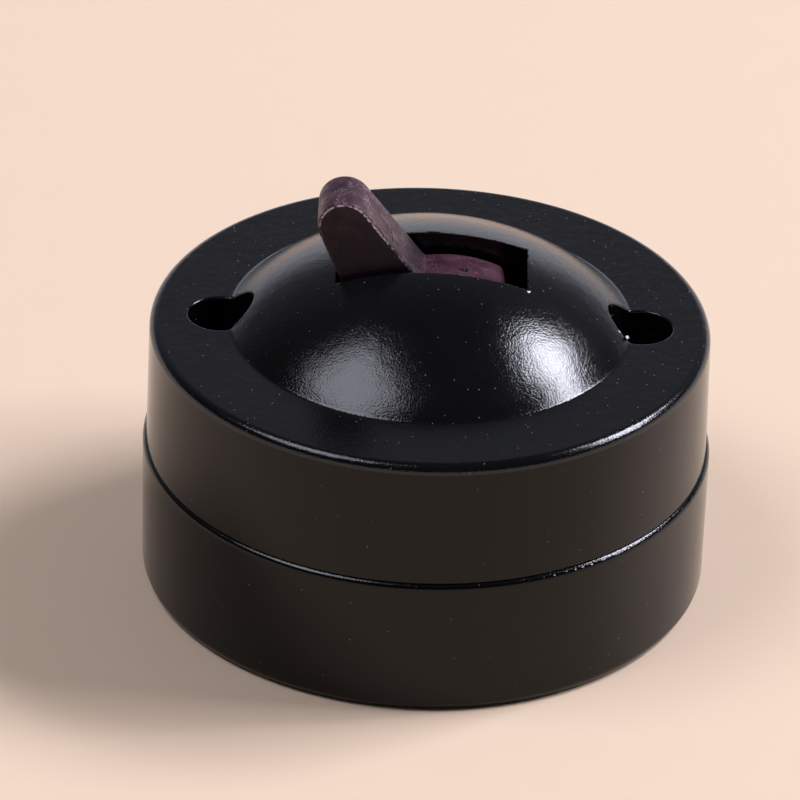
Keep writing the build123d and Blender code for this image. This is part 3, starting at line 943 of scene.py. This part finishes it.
@dataclass
class Cover:
    """The cover moulding: a flat ring, a shallow dome, a slot and two screw wells."""

    seam_r: float = 31.35
    top_r: float = 31.1
    wall: float = 3.1
    draft: float = 0.5
    seam_z: float = 16.3
    flat_z: float = 31.0
    shell: float = 2.5
    edge_r: float = 1.1
    seam_round: float = 0.15
    dome_r: float = 32.6
    dome_h: float = 8.93
    dome_blend: float = 0.6
    slot: tuple[float, float] = (21.0, 8.8)
    lip_r: float = 28.8
    lip_z: float = 14.8
    well_x: float = 23.26
    well_r: float = 3.6
    well_wall: float = 1.8
    well_floor: float = 17.8
    screw_clear_r: float = 1.7
    screw_clear: tuple[float, float] = (10.0, 20.0)
    above: float = 45.0
    mouth_near: float = 0.05
    well_near: float = 0.03
    seam_chips: tuple[float, ...] = (27, 30, 34.5, 36, 42, 45.5, 49, 57.5, 63, 71, -24, -3, 9)
    slot_round: float = 0.14
    well_round: float = 0.24
    steps: int = 288

    @property
    def dome_centre(self) -> float:
        """Height of the dome's centre."""
        return self.flat_z + self.dome_h - self.dome_r

    def on_dome(self, x: float, y: float) -> Vector:
        """Return the dome's point above a place."""
        return Vector((x, y, self.dome_centre + math.sqrt(self.dome_r**2 - x**2 - y**2)))

    def outline(self) -> Solid:
        """Draw the cover's section and turn it."""
        body = Solid()
        inner_r = self.dome_r - self.shell
        under = self.flat_z - self.shell
        outer_turn = math.degrees(math.acos((self.dome_r - self.dome_h) / self.dome_r))
        inner_turn = math.degrees(math.acos((under - self.dome_centre) / inner_r))
        centre = (0.0, self.dome_centre)
        foot = body.arc(body.point(0, self.dome_centre + self.dome_r), centre, outer_turn, 60)
        inner_foot = body.arc(body.point(0, self.dome_centre + inner_r), centre, inner_turn, 24)
        edge = body.point(self.top_r, self.flat_z)
        seam = body.point(self.seam_r, self.seam_z)
        inside = self.seam_r - self.wall
        body.path(
            (
                foot,
                edge,
                seam,
                body.point(self.lip_r, self.seam_z),
                body.point(self.lip_r, self.lip_z),
                body.point(inside - self.draft / 2, self.lip_z),
                body.point(inside - self.draft, under),
                inner_foot,
            )
        )
        body.round_corner(foot, self.dome_blend, 4)
        body.round_corner(edge, self.edge_r, 8)
        body.round_corner(seam, self.seam_round, 3)
        body.turn(self.steps)
        return body

    def wells(self, radius: float, low: float, high: float) -> Solid:
        """Return a rod for each screw well."""
        rods = Solid()
        for side in (-1, 1):
            rods.rod((side * self.well_x, 0, low), radius, high - low, steps=96)
        return rods

    def chips(self) -> Solid:
        """Return the small chips that are missing from the seam, the slot and a well."""
        lumps = Solid()
        draw = random.Random(5)
        for bearing in self.seam_chips:
            spot = around(bearing, self.seam_r + 0.02, self.seam_z + 0.05)
            squash = Vector((draw.uniform(1.2, 2.4), 0.8, 0.6))
            lumps.pebble(spot, draw.uniform(0.16, 0.34), squash, math.radians(bearing))
        front = -self.slot[1] / 2
        for across, size in ((5.0, 0.2), (3.6, 0.28), (7.9, 0.16), (-1.6, 0.16)):
            spot = self.on_dome(across, front - 0.02)
            lumps.pebble(spot, size, Vector((1.5, 0.7, 0.7)), 0.3)
        for across, out, size in ((10.62, -4.6, 0.46), (20.9, -3.0, 0.4), (21.6, -3.44, 0.36)):
            lumps.flake(self.on_dome(across, out), GLINT, size)
        return lumps

    def is_slot(self, edge: bmesh.types.BMEdge) -> bool:
        """Say whether an edge runs round the slot at the outer surface."""
        middle = (edge.verts[0].co + edge.verts[1].co) / 2
        rise = middle - Vector((0, 0, self.dome_centre))
        half_l, half_w = (size / 2 + 0.02 for size in self.slot)
        return (
            abs(rise.length - self.dome_r) < self.mouth_near
            and abs(middle.x) < half_l
            and abs(middle.y) < half_w
        )

    def is_well(self, edge: bmesh.types.BMEdge) -> bool:
        """Say whether an edge runs round a well at the outer surface."""
        middle = (edge.verts[0].co + edge.verts[1].co) / 2
        reach = math.hypot(abs(middle.x) - self.well_x, middle.y)
        flat = abs(edge.verts[0].co.z - edge.verts[1].co.z) < 0.9 * edge.calc_length()
        high = middle.z > self.flat_z - self.mouth_near
        return abs(reach - self.well_r) < self.well_near and high and flat

    def skin(self, face: bpy.types.MeshPolygon) -> Skin:
        """Say whether a face is on the buffed wall or on the satin top."""
        outside = math.hypot(face.center.x, face.center.y) > self.top_r - 0.1
        wall = face.center.z < self.flat_z - self.edge_r
        return Skin.POLISHED if outside and wall else Skin.SATIN

    def build(self) -> None:
        """Make the cover piece, in place and dressed."""
        piece = self.outline().shape("cover_moulding")
        half_l, half_w = self.slot[0] / 2, self.slot[1] / 2
        slot = Solid()
        slot.block((-half_l, -half_w, self.flat_z + self.shell), (half_l, half_w, self.above))
        tube = self.wells(self.well_r + self.well_wall, self.lip_z, self.flat_z - self.shell / 2)
        wells = self.wells(self.well_r, self.well_floor, self.above)
        carve(piece, Carving.JOIN, tube)
        carve(piece, Carving.CUT, wells, self.wells(self.screw_clear_r, *self.screw_clear), slot)
        soften(piece, self.slot_round, 3, self.is_slot)
        soften(piece, self.well_round, 4, self.is_well)
        carve(piece, Carving.CUT, self.chips())
        settle(piece, (SATIN_BLACK, POLISHED_BLACK), self.skin)
        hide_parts("cover")
        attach(piece, "housing")


@dataclass
class Lever:
    """The lever moulding: a tapered finger, two curved wings, a hub and a ball nib."""

    pivot_z: float = 27.6
    tilt: float = 30.4
    thickness: float = 6.6
    tip_r: float = 2.9
    tip_centre: float = 19.4
    taper: float = 7.7
    root_height: float = 9.07
    wing_mid: tuple[float, float] = (7.5, 7.4)
    wing_end: tuple[float, float] = (11.2, 3.6)
    wing_toe: tuple[float, float] = (10.3, 1.1)
    root_r: float = 0.5
    corner_r: float = 1.4
    toe_r: float = 0.6
    edge_round: float = 0.45
    hub_r: float = 3.8
    hub_width: float = 9.0
    pin_hole_r: float = 1.3
    nib: float = 5.6
    nib_r: float = 1.5
    neck_r: float = 1.0
    neck_top: float = -1.5
    pin_reach: float = 10.0
    chip_depth: float = 0.14
    nicks: tuple[tuple[float, float], ...] = (
        ((-2.1, 21.2), (-1.3, 21.85), (0.2, 22.05), (1.4, 21.6), (2.1, 20.8), (2.5, 19.9))
        + ((2.62, 18.7), (2.85, 16.9), (3.0, 15.7), (3.2, 14.4), (3.32, 13.1), (-3.0, 17.6))
    )

    @staticmethod
    def circle(
        first: tuple[float, float], second: tuple[float, float], third: tuple[float, float]
    ) -> tuple[float, float]:
        """Return the centre of the circle through three points."""
        (ax, az), (bx, bz), (cx, cz) = first, second, third
        twice = 2 * (ax * (bz - cz) + bx * (cz - az) + cx * (az - bz))
        sums = [x * x + z * z for x, z in (first, second, third)]
        across = (sums[0] * (bz - cz) + sums[1] * (cz - az) + sums[2] * (az - bz)) / twice
        up = (sums[0] * (cx - bx) + sums[1] * (ax - cx) + sums[2] * (bx - ax)) / twice
        return across, up

    def outline(self) -> Solid:
        """Draw the right half of the flank, mirror it and give it its thickness."""
        flank = Solid()
        lean = math.radians(self.taper)
        half = (self.tip_r + (self.tip_centre - self.root_height) * math.sin(lean)) / math.cos(lean)
        crown = flank.point(0, self.tip_centre + self.tip_r)
        shoulder = flank.arc(crown, (0, self.tip_centre), 90 - self.taper, 14)
        root = (half, self.root_height)
        centre = self.circle(root, self.wing_mid, self.wing_end)
        begin = math.atan2(root[1] - centre[1], root[0] - centre[0])
        end = math.atan2(self.wing_end[1] - centre[1], self.wing_end[0] - centre[0])
        root_point = flank.point(*root)
        wing_end = flank.arc(root_point, centre, math.degrees(begin - end), 18)
        toe = flank.point(*self.wing_toe)
        hub = flank.point(self.hub_r * math.cos(lean), -self.hub_r * math.sin(lean))
        flank.path((shoulder, root_point))
        flank.path((wing_end, toe, hub))
        flank.arc(hub, (0, 0), 90 - self.taper, 10)
        flank.round_corner(toe, self.toe_r, 4)
        flank.round_corner(wing_end, self.corner_r, 6)
        flank.round_corner(root_point, self.root_r, 3)
        bmesh.ops.mirror(
            flank.mesh,
            geom=flank.mesh.verts[:] + flank.mesh.edges[:],
            matrix=Matrix.Identity(4),
            merge_dist=DRAWN_GAP,
            axis="X",
        )
        bmesh.ops.remove_doubles(flank.mesh, verts=flank.mesh.verts[:], dist=DRAWN_GAP)
        bmesh.ops.contextual_create(flank.mesh, geom=flank.mesh.edges[:])
        bmesh.ops.translate(
            flank.mesh, verts=flank.mesh.verts[:], vec=(0, -self.thickness / 2, 0)
        )
        grown = bmesh.ops.extrude_face_region(flank.mesh, geom=flank.mesh.faces[:])
        far = [v for v in grown["geom"] if isinstance(v, bmesh.types.BMVert)]
        bmesh.ops.translate(flank.mesh, verts=far, vec=(0, self.thickness, 0))
        flank.tidy(DRAWN_GAP)
        return flank

    def is_rim(self, edge: bmesh.types.BMEdge) -> bool:
        """Say whether an edge runs round one of the two flanks."""
        return all(abs(abs(v.co.y) - self.thickness / 2) < NEAR for v in edge.verts)

    def hub(self) -> Solid:
        """Return the hub on the pin."""
        hub = Solid()
        hub.rod((0, -self.hub_width / 2, 0), self.hub_r - self.edge_round, self.hub_width, Y_AXIS)
        return hub

    def ball(self) -> Solid:
        """Return the neck and ball that the spring sits on."""
        nib = Solid()
        top = nib.point(0, -self.nib - self.nib_r)
        turn = 180 - math.degrees(math.asin(self.neck_r / self.nib_r))
        neck = nib.arc(top, (0, -self.nib), -turn, 14)
        high = nib.point(abs(neck.co.x), self.neck_top)
        nib.path((neck, high, nib.point(0, self.neck_top)))
        nib.turn(32)
        return nib

    def chips(self) -> Solid:
        """Return the chips and pits of the finger and the right wing."""
        lumps = Solid()
        draw = random.Random(3)
        front = self.chip_depth - self.thickness / 2
        for across, up in self.nicks:
            squash = Vector((0.8, 0.7, draw.uniform(0.9, 1.6)))
            lumps.pebble(Vector((across, front, up)), draw.uniform(0.13, 0.22), squash, across)
        for spot, size in (
            ((8.75, -1.2, 6.5), 0.2),
            ((3.56, 1.77, 14.71), 0.14),
            ((2.42, -0.41, 20.98), 0.13),
        ):
            lumps.pebble(Vector(spot), size, Vector((1.0, 1.0, 0.6)), 0.7)
        return lumps

    def scratches(self) -> Solid:
        """Return the thin grooves on the right face and the right wing."""
        lines = Solid()
        for start, end, radius in (
            ((3.5, -0.09, 15.21), (3.56, -2.35, 14.77), 0.1),
            ((7.93, -0.3, 6.87), (8.65, 0.1, 7.56), 0.6),
            ((8.95, 0.3, 6.38), (9.35, 0.05, 6.04), 0.1),
        ):
            run = Vector(end) - Vector(start)
            lines.rod(start, radius, run.length, run, 12)
        return lines

    def build(self) -> None:
        """Make the lever piece, in place and dressed."""
        piece = self.outline().shape("lever_moulding")
        soften(piece, self.edge_round, 5, self.is_rim)
        hole = Solid()
        hole.rod((0, -self.pin_reach, 0), self.pin_hole_r, 2 * self.pin_reach, Y_AXIS, 48)
        carve(piece, Carving.JOIN, self.hub(), self.ball())
        carve(piece, Carving.CUT, hole, self.chips(), self.scratches())
        lean = Matrix.Rotation(math.radians(-self.tilt), 4, Y_AXIS)
        piece.data.transform(Matrix.Translation((0, 0, self.pivot_z)) @ lean)
        settle(piece, (MAROON,))
        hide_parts("lever")
        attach(piece, "lever")


# The real finish of the pieces that keep their CAD shape, and how their names start.
WORKS: tuple[tuple[Finish, tuple[str, ...]], ...] = (
    (ZINC_STEEL, ("rocker_pin", "lever_pin", "bridge", "cover_screw")),
    (ROCKER_BROWN, ("rocker",)),
    (SPRING_WIRE, ("toggle_spring",)),
    (BRASS, ("cover_insert", "terminal", "blade_rivet")),
    (BRONZE, ("contact_blade", "fixed_contact")),
    (SILVER, ("moving_tip", "fixed_tip")),
)


def dress(nodes: dict[str, bpy.types.Object]) -> None:
    """Give every carried-over piece its finish.

    Args:
        nodes: The frame's CAD nodes by name.
    """
    for name, node in nodes.items():
        found = next((finish for finish, starts in WORKS if name.startswith(starts)), None)
        if found:
            for held in node.material_slots:
                held.material = found.material()
            LOG.info("%s: %s", name, found.name)


@dataclass(frozen=True)
class Lamp:
    """A soft light: where it hangs, how large and bright it looks, and its tint."""

    name: str
    toward: tuple[float, float, float]
    size: tuple[float, float]
    glow: float
    colour: str
    mirrored: bool = True


@dataclass
class Studio:
    """The floor, the soft lights, the surroundings and the camera, in metres."""

    floor_size: float = 1.6
    far: float = 2.5
    dark: str = "#38383a"
    grey: str = "#70727c"
    pale: str = "#e6e8f6"
    dim: str = "#323236"
    lamps: tuple[Lamp, ...] = (
        Lamp("overhead_left", (-0.45, -0.14, 0.87), (0.54, 0.45), 5.0, "#eef0ff"),
        Lamp("high_right", (0.626, 0.253, 0.737), (0.33, 0.28), 26.0, "#f0f1ff"),
        Lamp("low_right", (0.806, 0.046, 0.59), (0.26, 0.27), 21.0, "#f0f1ff"),
        Lamp("overhead_fill", (0.0, 0.3, 1.0), (1.2, 1.2), 0.27, "#ffffff", mirrored=False),
    )
    sensor: float = 36.0
    lens: float = 284.23
    pitch: float = 30.92
    roll: float = 1.9
    stand: tuple[float, float, float] = (-0.003072, -0.605221, 0.383086)

    def floor(self) -> None:
        """Lay the plain floor under the switch."""
        board = Solid()
        bmesh.ops.create_grid(
            board.mesh, x_segments=1, y_segments=1, size=self.floor_size / MM / 2
        )
        made = board.shape("floor")
        made.data.transform(Matrix.Scale(MM, 4))
        made.data.materials.append(FLOOR.material())

    def hang(self, lamp: Lamp) -> None:
        """Hang a soft light so that it faces the switch."""
        data = bpy.data.lights.new(lamp.name, "AREA")
        data.shape = "RECTANGLE"
        data.size, data.size_y = lamp.size[0] * self.far, lamp.size[1] * self.far
        data.energy = lamp.glow * math.pi * data.size * data.size_y
        data.color = linear(lamp.colour)[:3]
        made = bpy.data.objects.new(lamp.name, data)
        toward = Vector(lamp.toward).normalized()
        made.location = toward * self.far
        made.rotation_mode = "QUATERNION"
        made.rotation_quaternion = toward.to_track_quat("Z", "Y")
        made.visible_glossy = lamp.mirrored
        bpy.context.scene.collection.objects.link(made)

    def surroundings(self) -> None:
        """Fill the room that gloss shows: dark above, pale low down and at the back."""
        world = bpy.data.worlds.new("room")
        bpy.context.scene.world = world
        world.use_nodes = True
        tree = world.node_tree
        sky = add_node(tree, "ShaderNodeTexCoord").outputs["Generated"]
        way = add_node(tree, "ShaderNodeSeparateXYZ", inputs={0: sky}).outputs
        wall = tint(stretch(way["Y"], (0.3, 0.9)), linear(self.dark), linear(self.grey))
        low = stretch(way["Z"], (0.1, 0.2), 1.0, 0.0)
        window = combine(
            "MULTIPLY",
            stretch(way["Y"], (0.86, 0.95)),
            stretch(way["Z"], (0.26, 0.38), 1.0, 0.0),
        )
        room = tint(combine("MAXIMUM", low, window), wall, linear(self.pale))
        path = add_node(tree, "ShaderNodeLightPath").outputs
        rays = (path[f"Is {kind} Ray"] for kind in ("Camera", "Glossy", "Transmission"))
        seen = combine("MAXIMUM", *rays)
        shown = tint(seen, linear(self.dim), room)
        tree.links.new(shown, tree.nodes["Background"].inputs["Color"])

    def camera(self) -> None:
        """Stand the camera where the photograph was taken from."""
        data = bpy.data.cameras.new("camera")
        data.sensor_width = self.sensor
        data.lens = self.lens
        made = bpy.data.objects.new("camera", data)
        bpy.context.scene.collection.objects.link(made)
        tipped = Matrix.Rotation(math.pi / 2 - math.radians(self.pitch), 4, X_AXIS)
        rolled = Matrix.Rotation(math.radians(self.roll), 4, Z_AXIS)
        made.matrix_world = Matrix.Translation(self.stand) @ tipped @ rolled
        bpy.context.scene.camera = made

    def build(self) -> None:
        """Set up everything round the switch."""
        self.floor()
        self.surroundings()
        for lamp in self.lamps:
            self.hang(lamp)
        self.camera()
        bpy.context.scene.view_settings.view_transform = "Standard"
        LOG.info("studio: floor, %d soft lights, camera", len(self.lamps))


def main() -> None:
    """Load the frame, make the fine pieces and dress the rest."""
    logging.basicConfig(level=logging.INFO, format="%(name)s: %(message)s")
    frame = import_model()
    Studio().build()
    Base().build()
    Cover().build()
    Lever().build()
    dress(frame["nodes"])


if __name__ == "__main__":
    main()
